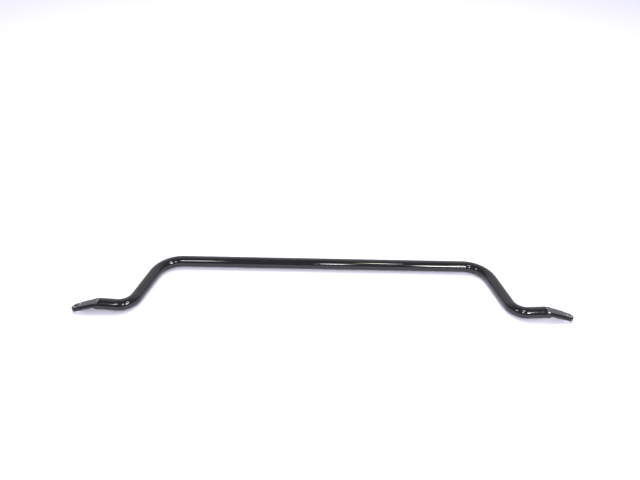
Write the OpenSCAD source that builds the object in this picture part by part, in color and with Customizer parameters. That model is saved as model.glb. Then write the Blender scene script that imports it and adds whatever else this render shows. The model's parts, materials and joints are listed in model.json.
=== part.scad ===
// Front sway bar: one spring steel round bar, bent into a wide hat shape, with a forged eye at each end.
// It lies flat, with the straight section along X and both arms reaching towards -Y.
// The straight section springs in twist, so each end turns about the axis of that section.

/* [Bar] */
// Diameter of the round bar
bar_d = 25; // [20:0.5:28]
// Distance between the two shoulder corners, measured on the bar's axis
shoulder_span = 725; // [640:5:900]
// Length of each bush seat, which ends where the shoulder bend starts
seat_length = 60; // [40:5:90]

/* [Arms] */
// Angle that each arm turns away from the straight section
arm_angle = 74; // [60:1:80]
// Length of each arm, from shoulder corner to knee corner
arm_length = 150; // [135:1:200]
// Radius of the shoulder bends, on the bar's axis
shoulder_radius = 60; // [45:1:70]
// Radius of the knee bends, on the bar's axis
knee_radius = 37; // [32:1:45]

/* [Stubs] */
// Length of each stub, from knee corner to forged neck
stub_length = 62; // [50:1:90]
// Angle that each stub rises outwards
stub_rise = 4.4; // [3:0.1:8]

/* [Forged ends] */
// Thickness of the flattened eye
eye_thickness = 9; // [8:0.5:12]
// Width of the eye at its round tip
tip_width = 23; // [20:0.5:26]
// Width of the eye at the neck, where the pressed metal has spread most
neck_width = 29; // [27:0.5:32]
// Angle that the eye is bent down from the stub
eye_droop = 20; // [15:0.5:24]
// Angle that the eye is turned about the stub, so its front edge is higher than its back edge
eye_turn = 12; // [0:1:15]
// Length of the eye, from the bend in the neck to the tip
eye_length = 50; // [46:1:70]
// Diameter of the drop link hole
hole_d = 12; // [10:0.5:13]
// Distance from the middle of the hole to the tip
hole_to_tip = 14; // [12:0.5:18]

/* [Hidden] */
$fn = 96;

paint = [0.13, 0.13, 0.14];
forged_paint = [0.17, 0.17, 0.18];

// Directions of the arm and of the stub on the right side
arm_dir = [cos(arm_angle), -sin(arm_angle), 0];
stub_dir = [cos(stub_rise), 0, sin(stub_rise)];
knee_angle = acos(arm_dir * stub_dir);
// Roll of the knee's plane about the arm, which lets the stub rise
knee_roll = atan2(sin(stub_rise), cos(stub_rise) * sin(arm_angle));

// A bend starts and ends this far from its corner
shoulder_setback = shoulder_radius * tan(arm_angle / 2);
knee_setback = knee_radius * tan(knee_angle / 2);
straight_half = shoulder_span / 2 - shoulder_setback;
centre_half = straight_half - seat_length;

// Stations along the right side, from the middle of the straight section's axis
shoulder_end = [shoulder_span / 2, 0, 0] + arm_dir * shoulder_setback;
knee_corner = [shoulder_span / 2, 0, 0] + arm_dir * arm_length;
knee_start = knee_corner - arm_dir * knee_setback;
stub_start = knee_corner + stub_dir * knee_setback;
neck_start = knee_corner + stub_dir * stub_length;

// The eye's mid-plane crosses the stub's axis this far into the neck
neck_bend = 12.5;
// The neck ends this far past that crossing, where the eye is fully flat
neck_length = 8;
tip_centre = eye_length - tip_width / 2;
// Forging dies press one ramp above the neck and a steeper one below it.
// A ramp starts on the round bar, at [outwards, up or down] from the start of the neck,
// and ends on a face of the eye, at [outwards, up or down] from the crossing.
upper_ramp_start = [0, bar_d / 2];
lower_ramp_start = [5, bar_d / 2];
upper_ramp_corner = [-11.5, eye_thickness / 2];
lower_ramp_corner = [-1.5, eye_thickness / 2];
die_reach = 80;

// The part stands on the underside of the straight section and is centred over its footprint
axis_y = (arm_length * sin(arm_angle) + neck_width / 2 - bar_d / 2) / 2;
axis_z = bar_d / 2;

// Moves a shape from the straight section's own axis to its place above the ground
module placed() {
  translate([0, axis_y, axis_z]) children();
}

// Mirrors a right-hand shape to the left
module left() {
  mirror([1, 0, 0]) children();
}

// Round bar running along +X from the origin
module round_bar(length) {
  rotate([0, 90, 0]) cylinder(h = length, d = bar_d);
}

// Round bar bent from +X towards +Y, starting at the origin
module bend(radius, angle) {
  translate([0, radius, 0])
    rotate([0, 0, -90])
      rotate_extrude(angle = angle)
        translate([radius, 0]) circle(d = bar_d);
}

// Frame of the stub: +X runs outwards along its axis
module along_stub(station) {
  translate(station) rotate([0, -stub_rise, 0]) children();
}

// Frame of the neck, which is turned about the stub's axis and starts where the stub ends
module along_neck() {
  along_stub(neck_start) rotate([-eye_turn, 0, 0]) children();
}

// Frame of the eye within that of the neck: +X runs outwards in the eye's mid-plane
module along_eye() {
  translate([neck_bend, 0, 0]) rotate([0, eye_droop, 0]) children();
}

// Point beside the neck in the frame of an eye that is turned by this angle
function in_eye_frame(point, droop) = [
  (point.x - neck_bend) * cos(droop) - point.y * sin(droop),
  (point.x - neck_bend) * sin(droop) + point.y * cos(droop),
];

// Die above the eye, in the eye's frame and reaching right across it
module die(ramp_start, ramp_corner) {
  translate([0, die_reach / 2, 0])
    rotate([90, 0, 0])
      linear_extrude(die_reach)
        polygon([
          ramp_start,
          ramp_corner,
          [die_reach, ramp_corner.y],
          [die_reach, die_reach],
          [ramp_start.x, die_reach],
        ]);
}

// Tapered bar with a round end that the eye is pressed from
module eye_blank() {
  sphere(d = neck_width);
  rotate([0, 90, 0]) cylinder(h = tip_centre, d1 = neck_width, d2 = tip_width);
  translate([tip_centre, 0, 0]) sphere(d = tip_width);
}

// Block that keeps what lies between two distances outwards
module between(low, high) {
  translate([low, -die_reach / 2, -die_reach / 2]) cube([high - low, die_reach, die_reach]);
}

// Middle of the straight section, between the bush seats
module centre_span() {
  color(paint) placed()
    translate([-centre_half, 0, 0]) round_bar(2 * centre_half);
}

// End of the straight section, where the rubber bush grips the bar
module bush_seat() {
  color(paint) placed()
    translate([centre_half, 0, 0]) round_bar(seat_length);
}

// Bend from the straight section into the arm
module shoulder_bend() {
  color(paint) placed()
    translate([straight_half, 0, 0])
      mirror([0, 1, 0]) bend(shoulder_radius, arm_angle);
}

// Straight lever that turns the drop link's force into twist
module arm() {
  color(paint) placed()
    translate(shoulder_end)
      rotate([0, 0, -arm_angle]) round_bar(norm(knee_start - shoulder_end));
}

// Bend from the arm into the stub
module knee_bend() {
  color(paint) placed()
    translate(knee_start)
      rotate([0, 0, -arm_angle]) rotate([knee_roll, 0, 0]) bend(knee_radius, knee_angle);
}

// Short outward run that still has the full round section
module stub() {
  color(paint) placed()
    along_stub(stub_start) round_bar(stub_length - knee_setback);
}

// Bar pressed from round to flat, with one ramp above and one below
module eye_neck() {
  color(forged_paint) placed()
    along_neck() difference() {
      neck_blank();
      along_eye() die(in_eye_frame(upper_ramp_start, eye_droop), upper_ramp_corner);
      along_eye() mirror([0, 0, 1]) die(in_eye_frame(lower_ramp_start, -eye_droop), lower_ramp_corner);
      along_eye() between(neck_length, die_reach);
    }
}

// Neck before pressing, which swells to the width that the metal spreads to
module neck_blank() {
  rotate([0, 90, 0]) cylinder(h = neck_bend, d1 = bar_d, d2 = neck_width);
  intersection() {
    along_eye() eye_blank();
    between(neck_bend, die_reach);
  }
}

// Flattened end with the hole for the drop link's stud
module eye() {
  color(forged_paint) placed()
    along_neck() along_eye() difference() {
      intersection() {
        eye_blank();
        between(neck_length, die_reach);
        cube([2 * die_reach, die_reach, eye_thickness], center = true);
      }
      translate([eye_length - hole_to_tip, 0, -eye_thickness]) cylinder(h = 2 * eye_thickness, d = hole_d);
    }
}

centre_span();
left() bush_seat();  // left_bush_seat
bush_seat();  // right_bush_seat
left() shoulder_bend();  // left_shoulder_bend
shoulder_bend();  // right_shoulder_bend
left() arm();  // left_arm
arm();  // right_arm
left() knee_bend();  // left_knee_bend
knee_bend();  // right_knee_bend
left() stub();  // left_stub
stub();  // right_stub
left() eye_neck();  // left_eye_neck
eye_neck();  // right_eye_neck
left() eye();  // left_eye
eye();  // right_eye
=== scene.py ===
# %% [markdown]
# # A sway bar, from round stock to painted forging
# A sway bar joins the left and right wheels of a car. It is one long rod of spring steel that
# twists when only one wheel rises. Its exact solids are already packed as a fixed frame, so this
# lesson gives the same rod a smooth, continuous skin and a worn gloss paint, and never moves
# or resizes anything.

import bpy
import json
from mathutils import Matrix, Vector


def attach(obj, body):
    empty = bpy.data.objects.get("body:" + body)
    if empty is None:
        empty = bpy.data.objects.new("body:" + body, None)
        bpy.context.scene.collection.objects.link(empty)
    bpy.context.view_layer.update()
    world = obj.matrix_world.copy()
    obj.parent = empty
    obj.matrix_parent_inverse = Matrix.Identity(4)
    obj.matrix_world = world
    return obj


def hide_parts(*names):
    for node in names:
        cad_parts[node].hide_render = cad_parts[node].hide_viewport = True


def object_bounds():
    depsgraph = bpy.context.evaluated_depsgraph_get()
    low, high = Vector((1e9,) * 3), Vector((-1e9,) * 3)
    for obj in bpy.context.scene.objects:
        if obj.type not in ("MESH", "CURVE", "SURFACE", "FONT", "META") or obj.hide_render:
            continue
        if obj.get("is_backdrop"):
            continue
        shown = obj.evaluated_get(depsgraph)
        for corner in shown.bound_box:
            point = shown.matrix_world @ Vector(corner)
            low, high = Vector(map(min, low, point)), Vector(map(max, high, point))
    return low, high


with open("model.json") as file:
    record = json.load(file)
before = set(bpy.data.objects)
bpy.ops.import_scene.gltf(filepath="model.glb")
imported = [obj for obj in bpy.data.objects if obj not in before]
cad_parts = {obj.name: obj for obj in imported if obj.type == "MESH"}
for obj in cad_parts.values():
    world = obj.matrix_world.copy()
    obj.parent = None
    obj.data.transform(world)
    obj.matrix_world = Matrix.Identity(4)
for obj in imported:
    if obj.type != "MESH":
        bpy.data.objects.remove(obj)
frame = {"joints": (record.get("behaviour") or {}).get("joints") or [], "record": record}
cad_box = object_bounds()
print("CAD box", [list(corner) for corner in cad_box])

# %% [markdown]
# The rest of the lesson needs Blender's own modules. `bmesh` is the mesh editor without the
# window: every tool of Edit Mode is there as a function.

# %% Open the toolbox
import json
import math

import bmesh
import bpy
from mathutils import Matrix, Vector, noise

record = frame["record"]
mounts = {mount["name"]: mount for mount in record["mounts"]}
hinges = {joint["name"]: joint for joint in frame["joints"]}
print("mounts", sorted(mounts), "hinges", sorted(hinges))

# %% [markdown]
# ## The camera
# A product view looks down on the bar from about forty degrees, so that both arms and the flat
# faces of the eyes show. The lens is a mild wide angle, which makes the near ends look a little
# larger than the far straight section. A camera could also be aimed with a Track To constraint,
# but plain angles keep the slight roll that a hand-held camera has.

# %% Place the camera
camera_data = bpy.data.cameras.new("studio_camera")
camera_data.lens = 33.75
camera_data.sensor_width = 36.0
camera_data.clip_start = 0.05
camera_data.clip_end = 60.0
camera = bpy.data.objects.new("studio_camera", camera_data)
camera.location = (-0.00405, -0.95251, 0.91974)
camera.rotation_euler = [math.radians(angle) for angle in (50.766, -0.7514, 0.8335)]
bpy.context.scene.collection.objects.link(camera)
bpy.context.scene.camera = camera
bpy.context.scene.view_settings.view_transform = "Standard"
bpy.context.scene.view_settings.look = "None"
print("camera looks down by", round(90 - math.degrees(camera.rotation_euler.x), 1), "degrees")

# %% [markdown]
# ## The floor
# The bar lies on a white table that is lit until it loses all detail. Only the strip close under
# the bar stays darker, because the bar hides it from the lamps and the room. The white is
# slightly blue, so the shadow is too, and so is the table's reflection along the bar.

# %% Lay the pale floor
def shader_tree(name):
    """A new material with its tree, its Principled shader, and nothing else set."""
    material = bpy.data.materials.new(name)
    material.use_nodes = True
    tree = material.node_tree
    return material, tree, tree.nodes["Principled BSDF"]


floor_material, _, floor_shader = shader_tree("white_table_top")
floor_shader.inputs["Base Color"].default_value = (0.84, 0.83, 0.97, 1)
floor_shader.inputs["Roughness"].default_value = 0.7
floor_shader.inputs["Specular IOR Level"].default_value = 0.2

table_half = 9.0
floor_bm = bmesh.new()
bmesh.ops.create_grid(floor_bm, x_segments=8, y_segments=8, size=table_half)
floor_mesh = bpy.data.meshes.new("table_top")
floor_bm.to_mesh(floor_mesh)
floor_bm.free()
floor = bpy.data.objects.new("table_top", floor_mesh)
floor.data.materials.append(floor_material)
bpy.context.scene.collection.objects.link(floor)
floor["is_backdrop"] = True
print("floor is", round(floor.dimensions.x, 1), "m wide")

# %% [markdown]
# ## The room
# Gloss black paint has almost no colour of its own: what it shows is the room. Along each bar
# the lower half mirrors the white table, the middle mirrors the dim room and ceiling in front of
# it, and the upper edge mirrors a pale backdrop behind. So the world is a smooth field of tones,
# mixed by direction, and it also gives the soft fill light. A high direction meets the backdrop
# sooner than a low one, because the backdrop leans over the table.

# %% Paint the room as a field of light
world = bpy.data.worlds.new("studio_room")
bpy.context.scene.world = world
world.use_nodes = True
room = world.node_tree
room.nodes.clear()


def room_node(kind, **values):
    node = room.nodes.new(kind)
    for key, value in values.items():
        setattr(node, key, value)
    return node


def room_ramp(source, low, high):
    """0 below low, 1 above high, and a smooth step between."""
    ramp = room_node("ShaderNodeMapRange", interpolation_type="SMOOTHSTEP")
    ramp.inputs["From Min"].default_value = low
    ramp.inputs["From Max"].default_value = high
    room.links.new(source, ramp.inputs["Value"])
    return ramp.outputs["Result"]


def room_maths(operation, first, second):
    node = room_node("ShaderNodeMath", operation=operation)
    for socket, value in zip(node.inputs, (first, second)):
        if isinstance(value, (int, float)):
            socket.default_value = value
        else:
            room.links.new(value, socket)
    return node.outputs["Value"]


dim_room = (0.30, 0.30, 0.325, 1)
pale_backdrop = (1.20, 1.21, 1.25, 1)
backdrop_lean = 0.35

direction = room_node("ShaderNodeTexCoord").outputs["Generated"]
split = room_node("ShaderNodeSeparateXYZ")
room.links.new(direction, split.inputs["Vector"])
lean = room_maths("MULTIPLY", split.outputs["Z"], backdrop_lean)
behind = room_ramp(room_maths("ADD", split.outputs["Y"], lean), 0.15, 0.55)
below_ceiling = room_maths("SUBTRACT", 1.0, room_ramp(split.outputs["Z"], 0.82, 0.99))
backdrop = room_maths("MULTIPLY", behind, below_ceiling)
skirting = room_maths("SUBTRACT", 1.0, room_ramp(split.outputs["Z"], -0.05, 0.10))
pale = room_maths("MAXIMUM", backdrop, skirting)
room_mix = room_node("ShaderNodeMix", data_type="RGBA")
room_mix.inputs["A"].default_value = dim_room
room_mix.inputs["B"].default_value = pale_backdrop
room.links.new(pale, room_mix.inputs["Factor"])
room_light = room_node("ShaderNodeBackground")
room.links.new(room_mix.outputs["Result"], room_light.inputs["Color"])
room_out = room_node("ShaderNodeOutputWorld")
room.links.new(room_light.outputs["Background"], room_out.inputs["Surface"])
print("room has", len(room.nodes), "nodes")

# %% [markdown]
# ## The lamps
# Thin bright lines on the bar are mirror images of small lamps. A long bar shows each lamp at
# one place only, where the bar's slope sends the eye to that lamp. So seven small softboxes give
# the broken line of light along the straight section and the glints on the bends and stubs.

# %% Hang the softboxes
bar_middle = Vector((0, 0.05, 0.01))


def softbox(name, place, width, depth, watts, colour=(1, 1, 1)):
    """A rectangular area lamp that faces the middle of the bar."""
    lamp = bpy.data.lights.new(name, "AREA")
    lamp.shape = "RECTANGLE"
    lamp.size, lamp.size_y, lamp.energy, lamp.color = width, depth, watts, colour
    box = bpy.data.objects.new(name, lamp)
    box.location = place
    facing = bar_middle - Vector(place)
    box.rotation_mode = "QUATERNION"
    box.rotation_quaternion = facing.to_track_quat("-Z", "Y")
    bpy.context.scene.collection.objects.link(box)
    radiance = watts / (width * depth * math.pi)
    print(name, "shines", round(radiance, 1), "W per square metre and steradian")


# Each softbox: its name, its place, its width and depth in metres, and its power in watts
softbox("right_softbox", (0.578, -1.20, 0.93), 0.225, 0.34, 10.5)
softbox("middle_softbox", (0.064, -1.20, 1.00), 0.12, 0.30, 3.8)
softbox("left_softbox", (-0.596, -0.894, 1.255), 0.16, 0.30, 3.3)
softbox("back_softbox", (0.31, -0.53, 1.49), 0.07, 0.22, 2.1)
softbox("warm_softbox", (0.236, -0.55, 1.49), 0.06, 0.22, 1.2, (1.0, 1.0, 0.6))
softbox("right_side_softbox", (0.708, -0.96, 1.20), 0.08, 0.22, 2.4)
softbox("left_side_softbox", (-0.690, -1.00, 1.07), 0.06, 0.20, 1.1)

# %% [markdown]
# The table itself is lit by one very large panel, above the bar and a little behind it. Its light
# falls forwards, so the bar's soft shadow lies on the near side. The panel is left out of
# reflections, because the backdrop already stands for it there.

# %% Hang the large panel
softbox("overhead_panel", (0.0, 0.9, 2.4), 2.6, 1.8, 60.0)
bpy.data.objects["overhead_panel"].visible_glossy = False

# %% [markdown]
# ## The bar's measures
# The record says where the hinges, the bush seats and the eye holes are, so those numbers are
# read from it. The bends and the forged ends are given here once, in metres and degrees, with
# the same values as in the bar's design. Only the skin of the eyes is tucked in a little, so that
# it stays inside the solid at the tips.

# %% Note the measures
MM = 0.001
right_hinge = Vector(hinges["right_twist"]["pos_m"])
centre_half = right_hinge.x
bar_axis = Vector((0, right_hinge.y, right_hinge.z))
seat = mounts["right_bush_seat"]["dims"]
bar_radius, seat_length = seat["r_mm"] * MM, seat["length_mm"] * MM
hole = mounts["right_eye_hole"]["dims"]
hole_radius, eye_thickness = hole["r_mm"] * MM, hole["length_mm"] * MM

arm_angle, arm_length = math.radians(74), 0.150
shoulder_radius, knee_radius = 0.060, 0.037
stub_rise, stub_length = math.radians(4.4), 0.062
neck_bend, eye_droop, eye_turn = 0.0125, math.radians(20), math.radians(12)
skin_tuck = 0.0003
neck_radius, tip_radius = 0.0145 - skin_tuck, 0.0115 - skin_tuck
eye_length, hole_to_tip = 0.050, 0.014

outwards = Vector((1, 0, 0))
arm_heading = Vector((math.cos(arm_angle), -math.sin(arm_angle), 0))
stub_heading = Vector((math.cos(stub_rise), 0, math.sin(stub_rise)))
print("bar is", round(2 * bar_radius / MM, 1), "mm thick, eyes are", round(eye_thickness / MM, 1))

# %% [markdown]
# ## Places along the right side
# Each bend starts before its corner, by the radius times the tangent of half the turn. The neck
# has a frame of its own, turned a little about the stub, and the eye's frame droops from it.

# %% Find the stations
shoulder_setback = shoulder_radius * math.tan(arm_angle / 2)
knee_setback = knee_radius * math.tan(arm_heading.angle(stub_heading) / 2)
shoulder_start = bar_axis + outwards * (centre_half + seat_length)
shoulder_corner = shoulder_start + outwards * shoulder_setback
arm_start = shoulder_corner + arm_heading * shoulder_setback
knee_corner = shoulder_corner + arm_heading * arm_length
knee_start = knee_corner - arm_heading * knee_setback
stub_start = knee_corner + stub_heading * knee_setback
neck_start = knee_corner + stub_heading * stub_length

neck_frame = (
    Matrix.Translation(neck_start)
    @ Matrix.Rotation(-stub_rise, 4, "Y")
    @ Matrix.Rotation(-eye_turn, 4, "X")
)
eye_frame = neck_frame @ Matrix.Translation((neck_bend, 0, 0)) @ Matrix.Rotation(eye_droop, 4, "Y")
hole_centre = Vector((eye_length - hole_to_tip, 0, 0))
told_hole = Vector(mounts["right_eye_hole"]["pos_m"])
miss = (eye_frame @ hole_centre - told_hole).length
print("hole lies", round(miss / MM, 3), "mm from its mount")

# %% [markdown]
# ## Mesh helpers
# A swept bar needs two moves. `pull_ring` is Extrude and Grab: the ring of edges grows straight.
# `bend_ring` is Spin: the ring swings round a centre. Both return the new last ring, so one can
# follow the other along the whole bar.

# %% Make the two sweeping tools
def edges_in(geometry):
    return [item for item in geometry if isinstance(item, bmesh.types.BMEdge)]


def verts_of(ring):
    return list({vert for edge in ring for vert in edge.verts})


def extrude_ring(bm, ring):
    """Extrudes a ring of edges in place and returns the new ring."""
    grown = bmesh.ops.extrude_edge_only(bm, edges=ring)["geom"]
    fresh = {item for item in grown if isinstance(item, bmesh.types.BMVert)}
    return [edge for edge in edges_in(grown) if all(vert in fresh for vert in edge.verts)]


def pull_ring(bm, ring, move, steps):
    for _ in range(steps):
        ring = extrude_ring(bm, ring)
        bmesh.ops.translate(bm, verts=verts_of(ring), vec=move / steps)
    return ring


def bend_ring(bm, ring, start, heading, new_heading, radius, steps):
    axis = heading.cross(new_heading).normalized()
    spun = bmesh.ops.spin(
        bm,
        geom=verts_of(ring) + ring,
        cent=start + axis.cross(heading) * radius,
        axis=axis,
        dvec=(0, 0, 0),
        angle=heading.angle(new_heading),
        steps=steps,
        use_merge=False,
        use_duplicate=False,
    )
    return edges_in(spun["geom_last"])


# %% [markdown]
# ## The plate of an eye
# The flat eye could be cut out of a block with a Boolean, but that leaves long thin faces round
# the hole. Here it grows from the hole instead. A circle is extruded outwards, and each new ring
# is eased from the circle towards the outline, which is a tapering plate with a round tip. Rings
# round a hole are what the real punch leaves in the metal too.

# %% Grow a flat ring from the hole
plate_start = 0.017
plate_cut = 0.026
plate_rows = 28
flank_columns = 96
corner_room = 0.0030
ring_shares = (0.18, 0.27, 0.36, 1.0)
tip_centre = eye_length - skin_tuck - tip_radius


def half_width(x):
    """Half the width of the eye, at a distance outwards from the bend in the neck."""
    if x <= tip_centre:
        return neck_radius + (tip_radius - neck_radius) * x / tip_centre
    return math.sqrt(max(tip_radius**2 - (x - tip_centre) ** 2, 0))


def reach(heading):
    """How far the plate reaches from the hole's middle in one direction."""
    inside, outside = 0.0, eye_length
    for _ in range(40):
        middle = (inside + outside) / 2
        spot = hole_centre + heading * middle
        fits = plate_start <= spot.x <= eye_length and abs(spot.y) <= half_width(spot.x)
        inside, outside = (middle, outside) if fits else (inside, middle)
    return inside


def column_angles():
    """Angles round the hole: evenly round the flank, then evenly across the plate's inner end."""
    back = plate_start - hole_centre.x
    corner = math.atan2(half_width(plate_start), back)
    flank = [corner * (2 * step / flank_columns - 1) for step in range(flank_columns + 1)]
    inner = half_width(plate_start) - corner_room
    across = [inner * (1 - 2 * step / plate_rows) for step in range(plate_rows + 1)]
    return flank + [math.atan2(y, back) for y in across]


def grow_plate(bm):
    angles = sorted(angle % (2 * math.pi) for angle in column_angles())
    made = bmesh.ops.create_circle(bm, cap_ends=False, radius=hole_radius, segments=len(angles))
    round_hole = sorted(made["verts"], key=lambda v: math.atan2(v.co.y, v.co.x) % (2 * math.pi))
    for vert, angle in zip(round_hole, angles):
        vert.co = hole_centre + hole_radius * Vector((math.cos(angle), math.sin(angle), 0))
    ring = list(bm.edges)
    for share in ring_shares:
        ring = extrude_ring(bm, ring)
        for vert in verts_of(ring):
            heading = (vert.co - hole_centre).normalized()
            length = hole_radius + (reach(heading) - hole_radius) * share
            vert.co = hole_centre + heading * length


trial = bmesh.new()
grow_plate(trial)
hole_mm = round(2 * hole_radius / MM, 1)
print("plate starts as", len(trial.faces), "faces round a hole of", hole_mm, "mm")
trial.free()

# %% [markdown]
# Solidify gives the flat ring its thickness and the wall of the hole in one step. Bevel then
# rounds the outline in five steps, wider above than below, as forging dies leave it, and takes a
# much smaller edge off the hole. It takes only edges whose faces turn by more than one radian.
# Last, Bisect cuts the plate square across and clears the side that faces the neck, because the
# bar joins there.

# %% Thicken and round the plate
upper_rounding = 0.0026
lower_rounding = 0.0016
rim_rounding = 0.0006
outline_steps, rim_steps = 5, 3
sharp_corner = 1.0


def from_spot(spot):
    return math.hypot(spot.x - hole_centre.x, spot.y)


def at_inner_end(item):
    return all(vert.co.x < plate_start + 1e-6 for vert in item.verts)


def finish_plate(bm):
    bmesh.ops.recalc_face_normals(bm, faces=bm.faces)
    bmesh.ops.solidify(bm, geom=bm.faces[:], thickness=eye_thickness)
    middle = (min(v.co.z for v in bm.verts) + max(v.co.z for v in bm.verts)) / 2
    bmesh.ops.translate(bm, verts=bm.verts, vec=(0, 0, -middle))
    bmesh.ops.recalc_face_normals(bm, faces=bm.faces)
    corners = [e for e in bm.edges if e.calc_face_angle() > sharp_corner and not at_inner_end(e)]
    rim = [e for e in corners if all(from_spot(v.co) < hole_radius + 1e-5 for v in e.verts)]
    outline = [e for e in corners if e not in set(rim)]
    upper = [e for e in outline if e.verts[0].co.z > 0]
    lower = [e for e in outline if e.verts[0].co.z < 0]
    rounds = (
        (upper, upper_rounding, outline_steps),
        (lower, lower_rounding, outline_steps),
        (rim, rim_rounding, rim_steps),
    )
    for edges, offset, segments in rounds:
        bmesh.ops.bevel(
            bm,
            geom=edges,
            offset=offset,
            offset_type="OFFSET",
            segments=segments,
            profile=0.5,
            affect="EDGES",
            material=-1,
        )
    bmesh.ops.bisect_plane(
        bm,
        geom=bm.verts[:] + bm.edges[:] + bm.faces[:],
        plane_co=(plate_cut, 0, 0),
        plane_no=(1, 0, 0),
        clear_inner=True,
    )


def open_side(bm):
    """The loop of edges where the cut plate is open towards the neck."""
    return [e for e in bm.edges if e.is_boundary]


trial = bmesh.new()
grow_plate(trial)
finish_plate(trial)
ring_count = len(open_side(trial))
print("the open side has", ring_count, "edges")
trial.free()

# %% [markdown]
# ## The bar's own coordinates
# Scratches and drawing marks were made while the bar was straight, so they must follow its bends.
# Every vertex therefore remembers where it lay in the straight stock, in a vector attribute named
# `unbent`: x is the distance along the bar, y and z are its place across it. Extrude and Spin
# copy attributes to what they make, so each tool only adds the distance it has travelled.

# %% Let every ring remember its place in the straight stock
def stock_layer(bm):
    return bm.verts.layers.float_vector.get("unbent") or bm.verts.layers.float_vector.new("unbent")


def carry(bm, ring, distance):
    layer = stock_layer(bm)
    for vert in verts_of(ring):
        vert[layer] = vert[layer] + Vector((distance, 0, 0))


def pull_bar(bm, ring, move, steps):
    for _ in range(steps):
        ring = pull_ring(bm, ring, move / steps, 1)
        carry(bm, ring, move.length / steps)
    return ring


def bend_bar(bm, ring, start, heading, new_heading, radius, steps):
    """Spins the ring a little at a time; each part of a turn is aimed at the next heading."""
    angle = heading.angle(new_heading)
    axis = heading.cross(new_heading).normalized()
    centre = start + axis.cross(heading) * radius
    for step in range(steps):
        here = Matrix.Rotation(angle * step / steps, 3, axis)
        there = Matrix.Rotation(angle * (step + 1) / steps, 3, axis)
        ring = bend_ring(
            bm, ring, centre + here @ (start - centre), here @ heading, there @ heading, radius, 1
        )
        carry(bm, ring, radius * angle / steps)
    return ring


# The first ring lies across X. Its circle is turned by half a step, so that an edge, and not a
# vertex, faces sideways, as on the plate. The roll makes it arrive square at the neck.
across_x = Matrix(((0, 0, 1, 0), (1, 0, 0, 0), (0, 1, 0, 0), (0, 0, 0, 1)))
half_step = Matrix.Rotation(math.pi / ring_count, 4, "Z")
swept = (
    arm_heading.rotation_difference(stub_heading).to_matrix()
    @ outwards.rotation_difference(arm_heading).to_matrix()
).to_4x4()
roll = swept.inverted() @ neck_frame.to_3x3().to_4x4()
roll_angle = math.degrees(roll.to_euler().x)
print("the stock is rolled by", round(roll_angle, 2), "degrees before bending")


def first_ring(bm, placing, travelled):
    layer = stock_layer(bm)
    made = bmesh.ops.create_circle(
        bm,
        cap_ends=False,
        radius=bar_radius,
        segments=ring_count,
        matrix=roll @ across_x @ half_step,
    )
    for vert in made["verts"]:
        vert[layer] = vert.co + Vector((travelled, 0, 0))
    bmesh.ops.transform(bm, matrix=placing, verts=made["verts"])
    return list({edge for vert in made["verts"] for edge in vert.link_edges})


# %% [markdown]
# ## The straight section
# This is the part that twists. It ends where each hinge is, and the next pieces start on exactly
# the same ring of points, so light runs over the joint without a step. It stops a fiftieth of a
# millimetre short, so the end faces never rub when an end turns. The end faces are real faces with
# sharp borders: without the sharp mark, smooth shading would bend the light there.

# %% Pull the straight section
def cap(bm, ring):
    """Closes a ring with one flat face and marks its border sharp."""
    bmesh.ops.contextual_create(bm, geom=ring)
    for edge in ring:
        edge.smooth = False


def smooth_faces(bm):
    """Shades every face smooth but the end faces, which are the only ones with many corners."""
    bmesh.ops.recalc_face_normals(bm, faces=bm.faces)
    for face in bm.faces:
        face.smooth = len(face.verts) <= 8


seam = 0.02 * MM
centre_reach = centre_half - seam
centre_steps = 48


def pull_centre(bm):
    start = first_ring(bm, Matrix.Translation(bar_axis - outwards * centre_reach), -centre_reach)
    end = pull_bar(bm, start, outwards * 2 * centre_reach, centre_steps)
    cap(bm, start)
    cap(bm, end)
    smooth_faces(bm)


# %% [markdown]
# ## The bent end
# From the hinge outwards the bar runs straight through its bush seat, bends round the shoulder,
# runs down the arm, bends back round the knee and rises a little along the stub. That is one
# path of five moves, and the ring that left the straight section ends square to the neck.

# %% Sweep the bent end
seat_steps, shoulder_steps, arm_steps, knee_steps, stub_steps = 8, 40, 12, 32, 6


def sweep_end(bm):
    start = first_ring(bm, Matrix.Translation(bar_axis + outwards * centre_half), centre_half)
    ring = pull_bar(bm, start, outwards * seat_length, seat_steps)
    ring = bend_bar(
        bm, ring, shoulder_start, outwards, arm_heading, shoulder_radius, shoulder_steps
    )
    ring = pull_bar(bm, ring, knee_start - arm_start, arm_steps)
    ring = bend_bar(bm, ring, knee_start, arm_heading, stub_heading, knee_radius, knee_steps)
    ring = pull_bar(bm, ring, neck_start - stub_start, stub_steps)
    cap(bm, start)
    cap(bm, ring)
    smooth_faces(bm)
    miss = sum((v.co for v in verts_of(ring)), Vector()) / ring_count - neck_start
    print("the swept ring misses the neck by", round(miss.length / MM, 4), "mm")


# %% [markdown]
# ## The forged neck
# The neck is the only place where the shape is not a plain sweep. The bar is first swelled into
# a round blank, and the rings are fanned round so that they end square to the drooping eye. Two
# dies then press it. Above, the metal is pressed along one long slope. Below, it steps up
# steeply. Pressing leaves hard creases, so Smooth Vertices fairs them as hot metal does. Last, the
# flanks lean inwards towards the top, because a forging must be able to leave its die.

# %% Press and fair the neck
neck_rings = 26
blank_rings = 22
bridge_gap = 0.0012
blank_end = plate_cut - bridge_gap
neck_length = 0.0125
flank_lean, tip_lean = 0.11, 0.05
lean_start, lean_fade = -0.010, 0.014
rim_clearance, rim_fade = 0.0007, 0.0016
neck_passes, joint_passes = 12, 2
most_across, most_up = 0.35, 0.6


def ease(value):
    """A smooth step from 0 to 1."""
    value = min(max(value, 0), 1)
    return value * value * (3 - 2 * value)


def die_line(neck_x, neck_z, corner_x):
    """A ramp from a point beside the neck down to a face of the eye, as (x, height) pairs."""
    start = eye_frame.inverted() @ neck_frame @ Vector((neck_x, 0, neck_z))
    return (start.x, abs(start.z)), (corner_x, eye_thickness / 2)


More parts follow.
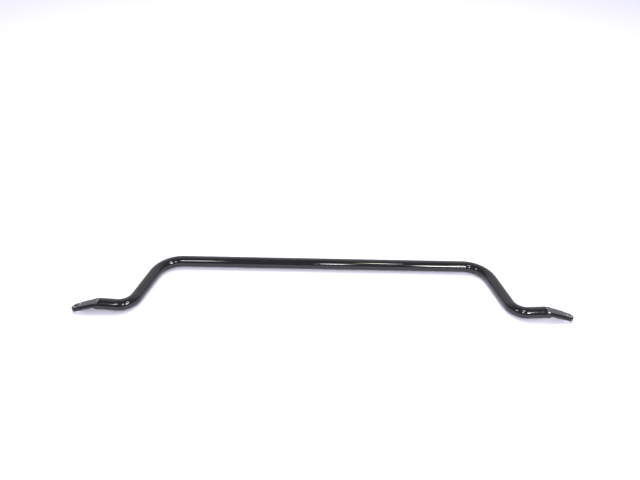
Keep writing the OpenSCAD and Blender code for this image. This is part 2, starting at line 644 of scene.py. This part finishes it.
upper_die = die_line(0.0009, bar_radius, -0.0115)
lower_die = die_line(0.0050, -bar_radius, -0.0015)


def die_height(die, x):
    (start_x, start_height), (corner_x, corner_height) = die
    slope = (corner_height - start_height) / (corner_x - start_x)
    return max(corner_height + slope * min(x - corner_x, 0), corner_height)


def swell_blank(bm, ring):
    """Extrudes the round blank through the neck and on to the edge of the plate."""
    layer = stock_layer(bm)
    rolled = roll.inverted()
    to_plate = blank_end / blank_rings
    for step in range(1, neck_rings + blank_rings + 1):
        ring = extrude_ring(bm, ring)
        if step <= neck_rings:
            share = step / neck_rings
            swell = bar_radius + (neck_radius - bar_radius) * ease(share)
            place = neck_frame @ Matrix.Translation((neck_length * share, 0, 0))
            place = place @ Matrix.Rotation(eye_droop * share, 4, "Y")
            advance = neck_length / neck_rings
        else:
            x = to_plate * (step - neck_rings)
            swell = half_width(x)
            place = eye_frame @ Matrix.Translation((x, 0, 0))
            advance = to_plate
        carry(bm, ring, advance)
        for vert in verts_of(ring):
            across = rolled @ Vector((0, vert[layer].y, vert[layer].z))
            vert.co = place @ (across * swell / bar_radius)
    return ring


def die_limit(die, spot, rounding):
    """Height of a die over one spot: flat in the middle and curving down past its corners.

    Where the neck is thin, the rounding takes at most a share of its width and of its height.
    """
    height = die_height(die, spot.x)
    corner = math.sqrt(max(neck_radius**2 - height**2, 0))
    rounding = min(rounding, most_across * corner, most_up * height)
    past = min(max(abs(spot.y) - (corner - rounding), 0), rounding)
    return height - rounding + math.sqrt(rounding**2 - past**2)


def press(verts):
    """Moves what lies outside the two dies onto them."""
    to_eye = eye_frame.inverted()
    for vert in verts:
        spot = to_eye @ vert.co
        ceiling = die_limit(upper_die, spot, upper_rounding)
        ground = -die_limit(lower_die, spot, lower_rounding)
        spot.z = min(max(spot.z, ground), ceiling)
        vert.co = eye_frame @ spot


def lean_flanks(verts):
    """Draws the upper side in, so that the flanks lean as the die does; the hole stays round."""
    to_eye = eye_frame.inverted()
    for vert in verts:
        spot = to_eye @ vert.co
        height = min(max(spot.z / eye_thickness + 0.5, 0), 1)
        pressed = ease((spot.x - lean_start) / lean_fade)
        clear = ease((from_spot(spot) - hole_radius - rim_clearance) / rim_fade)
        spot.y *= 1 - flank_lean * height * pressed * clear
        if spot.x > hole_centre.x:
            spot.x -= (spot.x - hole_centre.x) * tip_lean * height * clear
        vert.co = eye_frame @ spot


def fair(bm, verts, passes):
    for _ in range(passes):
        bmesh.ops.smooth_vert(
            bm, verts=verts, factor=0.5, use_axis_x=True, use_axis_y=True, use_axis_z=True
        )


def sweep_length():
    """The length of bar from the middle of the straight section to the start of the neck."""
    straights = centre_half + seat_length + (knee_start - arm_start).length
    bends = shoulder_radius * arm_angle + knee_radius * arm_heading.angle(stub_heading)
    return straights + bends + (neck_start - stub_start).length


def forge_eye(bm):
    layer = stock_layer(bm)
    grow_plate(bm)
    finish_plate(bm)
    for vert in bm.verts:
        across = roll @ Vector((0, vert.co.y, vert.co.z))
        vert[layer] = across + outwards * (sweep_length() + neck_length + vert.co.x)
    mouth = open_side(bm)
    plate = set(bm.verts)
    bmesh.ops.transform(bm, matrix=eye_frame, verts=bm.verts)
    start = first_ring(bm, Matrix.Translation(neck_start) @ swept, sweep_length())
    border = set(verts_of(start))
    end = swell_blank(bm, start)
    neck = [vert for vert in bm.verts if vert not in plate and vert not in border]
    press(neck)
    last = set(verts_of(end))
    fair(bm, [vert for vert in neck if vert not in last], neck_passes)
    bmesh.ops.bridge_loops(bm, edges=end + mouth)
    fair(bm, verts_of(end) + verts_of(mouth), joint_passes)
    lean_flanks([vert for vert in bm.verts if vert not in border])
    cap(bm, start)
    smooth_faces(bm)
    open_edges = sum(edge.is_boundary for edge in bm.edges)
    print("forged eye has", len(bm.faces), "faces and", open_edges, "open edges")


# %% [markdown]
# Forged metal is never quite even. A slow noise pushes the skin of the neck and eye in by up to a
# fifth of a millimetre, and it fades out towards the stub, so the joint between the two pieces
# stays exact. It only ever moves inwards, because the solid sets the largest size. The left side
# is made by mirroring, and its noise is read afterwards, so the two forgings differ a little.

# %% Make the forging slightly uneven
dent_depth, dent_grain, dent_fade = 0.0002, 140.0, 0.008


def unevenness(bm):
    bm.normal_update()
    layer = stock_layer(bm)
    moves = []
    for vert in bm.verts:
        fade = min(max((abs(vert[layer].x) - sweep_length()) / dent_fade, 0), 1)
        swing = (noise.noise(vert.co * dent_grain) - 1) / 2
        moves.append((vert, vert.normal * dent_depth * fade * swing))
    for vert, move in moves:
        vert.co += move


def mirror_to_left(bm):
    bmesh.ops.scale(bm, vec=(-1, 1, 1), verts=bm.verts)
    layer = stock_layer(bm)
    for vert in bm.verts:
        vert[layer] = Vector((-vert[layer].x, vert[layer].y, vert[layer].z))
    bmesh.ops.recalc_face_normals(bm, faces=bm.faces)


# %% [markdown]
# ## Gloss black paint
# The bar is painted black over smooth drawn steel. Black paint is almost without colour, so the
# detail is in how it reflects: a very fine orange peel, faint smudges where hands have held it,
# long hairline scratches from handling, a little dust on the upper side, and a few pinhead chips.
# Each of these is one small group of nodes that ends in a mask between 0 and 1.

# %% Node helpers for the paints
class Paint:
    """Short names for building a material's node tree."""

    def __init__(self, name):
        self.material, self.tree, self.shader = shader_tree(name)

    def plug(self, value, socket):
        if isinstance(value, bpy.types.NodeSocket):
            self.tree.links.new(value, socket)
        else:
            socket.default_value = value

    def node(self, kind, inputs=(), **settings):
        made = self.tree.nodes.new(kind)
        for key, value in settings.items():
            setattr(made, key, value)
        for key, value in dict(inputs).items():
            self.plug(value, made.inputs[key])
        return made

    def stock(self):
        """Where a point lay in the straight stock."""
        return self.node("ShaderNodeAttribute", attribute_name="unbent").outputs["Vector"]

    def stretched(self, vector, stretch):
        values = {"Vector": vector, "Scale": stretch}
        return self.node("ShaderNodeMapping", values).outputs["Vector"]

    def cloud(self, vector, scale, detail=3.0, roughness=0.55, distortion=0.0):
        values = {"Vector": vector, "Scale": scale, "Detail": detail}
        values.update({"Roughness": roughness, "Distortion": distortion})
        return self.node("ShaderNodeTexNoise", values).outputs["Fac"]

    def step(self, value, low, high, start=0.0, end=1.0):
        """start below low, end above high, smooth between."""
        values = {"Value": value, "From Min": low, "From Max": high}
        values.update({"To Min": start, "To Max": end})
        made = self.node("ShaderNodeMapRange", values, interpolation_type="SMOOTHSTEP")
        return made.outputs["Result"]

    def maths(self, operation, first, second=0.0):
        made = self.node("ShaderNodeMath", {0: first, 1: second}, operation=operation)
        return made.outputs["Value"]

    def times(self, first, second):
        return self.maths("MULTIPLY", first, second)

    def plus(self, first, second):
        return self.maths("ADD", first, second)

    def most(self, first, second):
        return self.maths("MAXIMUM", first, second)

    def without(self, mask):
        return self.maths("SUBTRACT", 1.0, mask)

    def blend(self, mask, below, above):
        values = {"Factor": mask, "A": below, "B": above}
        return self.node("ShaderNodeMix", values, data_type="RGBA").outputs["Result"]

    def level(self, mask, below, above):
        values = {"Factor": mask, "A": below, "B": above}
        return self.node("ShaderNodeMix", values, data_type="FLOAT").outputs["Result"]

    def relief(self, height, strength, distance, under=None):
        values = {"Height": height, "Strength": strength, "Distance": distance}
        if under is not None:
            values["Normal"] = under
        return self.node("ShaderNodeBump", values).outputs["Normal"]


# %% [markdown]
# The paint's own recipe comes first, without chips. Dust is stronger where the surface faces up,
# which the object-space normal tells. Smudges only change the roughness, so they show inside a
# reflection and nowhere else. The hairlines are noise that is stretched twentyfold along the bar.

# %% Mix the gloss black
deep_black = (0.0062, 0.0062, 0.0068, 1)
tired_black = (0.0095, 0.0095, 0.0102, 1)
road_dust = (0.20, 0.19, 0.175, 1)
grey_primer = (0.17, 0.17, 0.165, 1)

dust_cover = 0.06
clean_gloss, smudged_gloss = 0.065, 0.11
hair_roughness, dust_roughness = 0.12, 0.05
peel_height = 0.0002


def gloss_coat(paint, peel=0.10):
    """The coat itself: returns its colour, its roughness and its fine relief."""
    stock = paint.stock()
    mottle = paint.cloud(stock, 28.0, detail=5.0)
    colour = paint.blend(paint.step(mottle, 0.38, 0.68), deep_black, tired_black)

    facing = paint.node("ShaderNodeTexCoord").outputs["Normal"]
    upwards = paint.node("ShaderNodeSeparateXYZ", {"Vector": facing}).outputs["Z"]
    settled = paint.step(paint.cloud(stock, 75.0, 6.0), 0.45, 0.75)
    dust = paint.times(paint.step(upwards, 0.35, 0.95), settled)
    specks = paint.step(paint.cloud(stock, 950.0, 2.0), 0.60, 0.78)
    film = paint.times(dust, paint.times(specks, dust_cover))
    colour = paint.blend(film, colour, road_dust)

    hand_marks = paint.cloud(paint.stretched(stock, (0.5, 1, 1)), 42.0, 4.0, distortion=1.2)
    streaks = paint.cloud(paint.stretched(stock, (0.05, 1, 1)), 1500.0, 2.0)
    hairs = paint.step(streaks, 0.66, 0.74)
    roughness = paint.level(paint.step(hand_marks, 0.50, 0.70), clean_gloss, smudged_gloss)
    roughness = paint.plus(roughness, paint.times(hairs, hair_roughness))
    roughness = paint.plus(roughness, paint.times(dust, dust_roughness))
    skin = paint.relief(paint.cloud(stock, 620.0, 2.0), peel, peel_height)
    skin = paint.relief(paint.without(hairs), 0.05, peel_height, skin)
    return stock, colour, roughness, skin


def chips(paint, stock, scale, rarity):
    """Pinhead chips: the cores of a few cells, broken up by noise."""
    values = {0: stock, 1: (0.37, 0.11, 0.73)}
    shifted = paint.node("ShaderNodeVectorMath", values, operation="ADD")
    values = {"Vector": shifted.outputs["Vector"], "Scale": scale}
    cells = paint.node("ShaderNodeTexVoronoi", values, feature="F1")
    lot = paint.node("ShaderNodeSeparateColor", {"Color": cells.outputs["Color"]})
    size = paint.step(lot.outputs["Red"], rarity, 1.0, 0.0, 0.20)
    frayed = paint.times(paint.cloud(stock, 900.0), 0.10)
    ragged = paint.plus(cells.outputs["Distance"], frayed)
    return paint.step(paint.maths("SUBTRACT", paint.plus(size, 0.05), ragged), 0.0, 0.03)


def finish_paint(paint, colour, roughness, skin, metal):
    paint.plug(colour, paint.shader.inputs["Base Color"])
    paint.plug(roughness, paint.shader.inputs["Roughness"])
    paint.plug(metal, paint.shader.inputs["Metallic"])
    paint.plug(skin, paint.shader.inputs["Normal"])
    print(paint.material.name, "has", len(paint.tree.nodes), "nodes")
    return paint.material


def mix_bar_paint():
    paint = Paint("gloss_black_bar_paint")
    stock, colour, roughness, skin = gloss_coat(paint)
    lost = chips(paint, stock, 55.0, 0.93)
    colour = paint.blend(lost, colour, grey_primer)
    roughness = paint.level(lost, roughness, 0.55)
    skin = paint.relief(paint.without(lost), 0.4, 0.0003, skin)
    return finish_paint(paint, colour, roughness, skin, 0.0)


bar_paint = mix_bar_paint()

# %% [markdown]
# ## Paint on the forged eye
# The same paint looks different on the eye. The forging has a coarse skin under it, the paint is
# thin on the edges, and the nut of the drop link has been tightened on the ring round the hole.
# So this recipe starts from the same coat and adds a coarser relief, a ragged bare ring that
# follows the distance from the hole, bright worn edges, and a bore painted darker and duller than
# the coat, which is partly the bore's own paint and partly painted shade inside the hole.

# %% Mix the paint for the eye
scaled_black = (0.012, 0.012, 0.013, 1)
# Black paint in the bore, darkened further as painted shade inside the hole.
bore_black_and_painted_shade = (0.004, 0.0035, 0.003, 1)
dull_steel = (0.34, 0.335, 0.33, 1)
bare_steel = (0.62, 0.61, 0.60, 1)

forging_start, forging_full = 0.002, 0.012
ring_inside, ring_outside, ring_fray = 0.0078, 0.0092, 0.0018
coat_shine, forged_shine, bore_shine = 0.5, 0.38, 0.08


def mark_hole(bm, side):
    """Stores, for every vertex, its distance from the hole's axis and its height in the hole."""
    layer = bm.verts.layers.float_vector.new("from_hole")
    mirror = Matrix.Diagonal((side, 1, 1, 1))
    to_eye = (mirror @ eye_frame).inverted()
    for vert in bm.verts:
        spot = to_eye @ vert.co
        vert[layer] = Vector((from_spot(spot), spot.z, 0))


def rough_forging(paint, stock):
    """Where the surface is forged, how coarse it is there, and the height of its scale."""
    along = paint.node("ShaderNodeSeparateXYZ", {"Vector": stock}).outputs["X"]
    low, high = sweep_length() + forging_start, sweep_length() + forging_full
    forged = paint.step(paint.maths("ABSOLUTE", along), low, high)
    coarse = paint.cloud(stock, 210.0, 4.0, roughness=0.6)
    pits = paint.step(paint.cloud(stock, 520.0, 2.0), 0.30, 0.42)
    height = paint.times(forged, paint.plus(coarse, paint.times(pits, 0.35)))
    return forged, coarse, height


def worn_places(paint, stock, radius, forged):
    """The ragged ring round the hole, the rubbed edges near it, and a few chips."""
    fray = paint.step(paint.cloud(stock, 420.0, 5.0), 0.2, 0.8, -ring_fray, ring_fray)
    ring = paint.step(paint.plus(radius, fray), ring_inside, ring_outside, 1.0, 0.0)
    patchy = paint.step(paint.cloud(stock, 330.0, 4.0), 0.42, 0.56)
    edge = paint.node("ShaderNodeNewGeometry").outputs["Pointiness"]
    contact = paint.step(paint.cloud(stock, 260.0, 5.0), 0.50, 0.62)
    rubbed = paint.times(paint.step(edge, 0.53, 0.60), contact)
    rubbed = paint.times(rubbed, paint.step(radius, 0.018, 0.030, 1.0, 0.0))
    worn = paint.most(paint.times(ring, patchy), paint.times(forged, rubbed))
    return paint.most(worn, chips(paint, stock, 150.0, 0.90))


def mix_eye_paint():
    paint = Paint("gloss_black_eye_paint")
    stock, colour, roughness, skin = gloss_coat(paint, peel=0.14)
    forged, coarse, height = rough_forging(paint, stock)
    scaled = paint.times(forged, paint.step(coarse, 0.45, 0.70))
    colour = paint.blend(scaled, colour, scaled_black)
    roughness = paint.plus(roughness, paint.times(forged, 0.07))
    skin = paint.relief(height, 0.28, 0.0004, skin)

    place = paint.node("ShaderNodeAttribute", attribute_name="from_hole").outputs["Vector"]
    radius = paint.node("ShaderNodeSeparateXYZ", {"Vector": place}).outputs["X"]
    # The bore gets a darker, duller finish than the coat: partly its own paint, partly painted
    # shade inside the hole.
    bore_and_painted_shade = paint.step(radius, hole_radius + 0.0001, hole_radius + 0.0005, 1.0, 0.0)
    shine = paint.level(bore_and_painted_shade, paint.step(forged, 0.0, 1.0, coat_shine, forged_shine), bore_shine)
    paint.plug(shine, paint.shader.inputs["Specular IOR Level"])
    colour = paint.blend(bore_and_painted_shade, colour, bore_black_and_painted_shade)
    roughness = paint.level(bore_and_painted_shade, roughness, 0.45)

    worn = worn_places(paint, stock, radius, forged)
    brushed = paint.cloud(paint.stretched(stock, (1, 1, 0.2)), 1400.0, 2.0)
    colour = paint.blend(worn, colour, paint.blend(brushed, dull_steel, bare_steel))
    roughness = paint.level(worn, roughness, 0.38)
    skin = paint.relief(paint.without(worn), 0.35, 0.0002, skin)
    return finish_paint(paint, colour, roughness, skin, worn)


eye_paint = mix_eye_paint()

# %% [markdown]
# ## The finished pieces
# Three pieces share the long round bar, one for each body that can turn, and two more are the
# forged eyes. Each piece rides on its body, hides the exact solids it stands for, and wears its
# finish. The left side is the right side mirrored in place, not a rotated object, so the
# objects themselves stay at the origin.

# %% Make the pieces
def present(name, bm, body, nodes, paint):
    mesh = bpy.data.meshes.new(name)
    bm.to_mesh(mesh)
    bm.free()
    mesh.materials.append(paint)
    piece = bpy.data.objects.new(name, mesh)
    bpy.context.scene.collection.objects.link(piece)
    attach(piece, body)
    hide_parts(*nodes)
    print(name, "has", len(mesh.polygons), "faces and rides on", body)
    return piece


centre_bm = bmesh.new()
pull_centre(centre_bm)
present("centre_run", centre_bm, "middle", ["centre_span"], bar_paint)

for side, hand in (("right", 1), ("left", -1)):
    end_bm = bmesh.new()
    sweep_end(end_bm)
    eye_bm = bmesh.new()
    forge_eye(eye_bm)
    if hand < 0:
        mirror_to_left(end_bm)
        mirror_to_left(eye_bm)
    unevenness(eye_bm)
    mark_hole(eye_bm, hand)
    parts = ("bush_seat", "shoulder_bend", "arm", "knee_bend", "stub")
    runs = [f"{side}_{part}" for part in parts]
    forged = [f"{side}_{part}" for part in ("eye_neck", "eye")]
    present(f"{side}_bent_run", end_bm, f"{side}_end", runs, bar_paint)
    present(f"{side}_forged_eye", eye_bm, f"{side}_end", forged, eye_paint)

# %% [markdown]
# ## Sizes
# The skin must not be larger than the solids it covers. Both boxes are written down so that they
# can be compared.

# %% Write the two boxes and finish
skin_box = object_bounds()
for end, skin_corner, cad_corner in zip(("low", "high"), skin_box, cad_box):
    gap = [round((skin - solid) / MM, 2) for skin, solid in zip(skin_corner, cad_corner)]
    print("skin minus CAD at the", end, "corner, mm:", gap)
